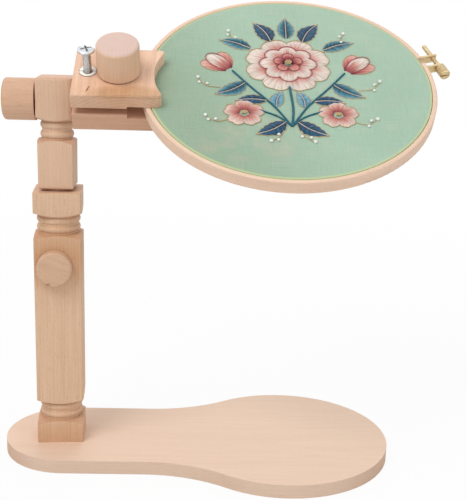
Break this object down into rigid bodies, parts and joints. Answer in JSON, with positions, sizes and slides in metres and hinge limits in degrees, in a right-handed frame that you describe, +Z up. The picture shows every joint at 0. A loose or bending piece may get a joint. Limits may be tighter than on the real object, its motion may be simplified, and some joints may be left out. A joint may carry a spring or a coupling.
{
  "type": "embroidery stand",
  "caption": "Table-top beech embroidery stand: rounded board, turned two-part post, tilting screw clamp and a round hoop with stretched cloth.",
  "frame": {"origin": "on the post's axis, at the underside of the board", "axes": "+X along the board towards its wide end, +Y away from the user, +Z up"},
  "size_m": [0.3314, 0.1867, 0.3458],
  "materials": {
    "beech": "sanded, bare",
    "steel": "zinc plated",
    "brass": "plain",
    "cotton": "plain weave"
  },
  "bodies": {
    "base": {"base_board": "beech", "base_screws": "steel", "lower_post": "beech", "height_insert": "brass"},
    "height_knob": {"height_bolt": "steel", "height_knob": "beech"},
    "dowel": {"dowel": "beech"},
    "upper_post": {"upper_post": "beech"},
    "tilt_knob": {"tilt_knob": "beech", "tilt_knob_nut": "brass"},
    "clamp": {"tilt_bolt": "steel", "tilt_washer": "steel", "lower_jaw": "beech", "clamp_bolt": "steel"},
    "upper_jaw": {"upper_jaw": "beech", "clamp_washer": "steel", "levelling_insert": "steel"},
    "clamp_knob": {"clamp_knob": "beech", "clamp_knob_nut": "brass"},
    "levelling_screw": {"levelling_screw": "steel"},
    "hoop": {"outer_ring": "beech", "inner_ring": "beech", "cloth": "cotton", "bracket_upper": "brass", "bracket_lower": "brass", "bracket_tacks": "brass"},
    "tension_screw": {"tension_screw": "brass"}
  },
  "joints": [
    {"name": "height_slide", "type": "slide", "parent": "base", "child": "dowel", "axis": [0, 0, 1], "range_m": [-0.0015, 0.075]},
    {"name": "post_swivel", "type": "hinge", "parent": "dowel", "child": "upper_post", "pos_m": [0, 0, 0.22], "axis": [0, 0, 1], "continuous": true},
    {"name": "height_knob_turn", "type": "hinge", "parent": "base", "child": "height_knob", "pos_m": [-0.00104, -0.01761, 0.152], "axis": [0.0663, -0.9978, 0], "range_deg": [0, 1080]},
    {"name": "clamp_tilt", "type": "hinge", "parent": "upper_post", "child": "clamp", "pos_m": [0, 0, 0.2733], "axis": [1, 0, 0], "continuous": true},
    {"name": "tilt_knob_turn", "type": "hinge", "parent": "clamp", "child": "tilt_knob", "pos_m": [-0.02, 0, 0.2733], "axis": [-1, 0, 0], "range_deg": [0, 1080]},
    {"name": "upper_jaw_lift", "type": "slide", "parent": "clamp", "child": "upper_jaw", "axis": [0, -0.5225, 0.8526], "range_m": [0, 0.006]},
    {"name": "clamp_knob_turn", "type": "hinge", "parent": "upper_jaw", "child": "clamp_knob", "pos_m": [0.0462, -0.01568, 0.29888], "axis": [0, -0.5225, 0.8526], "range_deg": [0, 2160]},
    {"name": "levelling_screw_turn", "type": "hinge", "parent": "upper_jaw", "child": "levelling_screw", "pos_m": [0.0242, -0.01568, 0.29888], "axis": [0, -0.5225, 0.8526], "range_deg": [0, 2160]},
    {"name": "hoop_slide", "type": "slide", "parent": "clamp", "child": "hoop", "axis": [1, 0, 0], "range_m": [0, 0.04]},
    {"name": "tension_screw_turn", "type": "hinge", "parent": "hoop", "child": "tension_screw", "pos_m": [0.28092, 0.02907, 0.30472], "axis": [0.3007, -0.8132, -0.4983], "range_deg": [0, 1800]}
  ],
  "couplings": [
    {"joint": "clamp_knob_turn", "follows": "upper_jaw_lift", "rad_per_m": 6283.2}
  ]
}
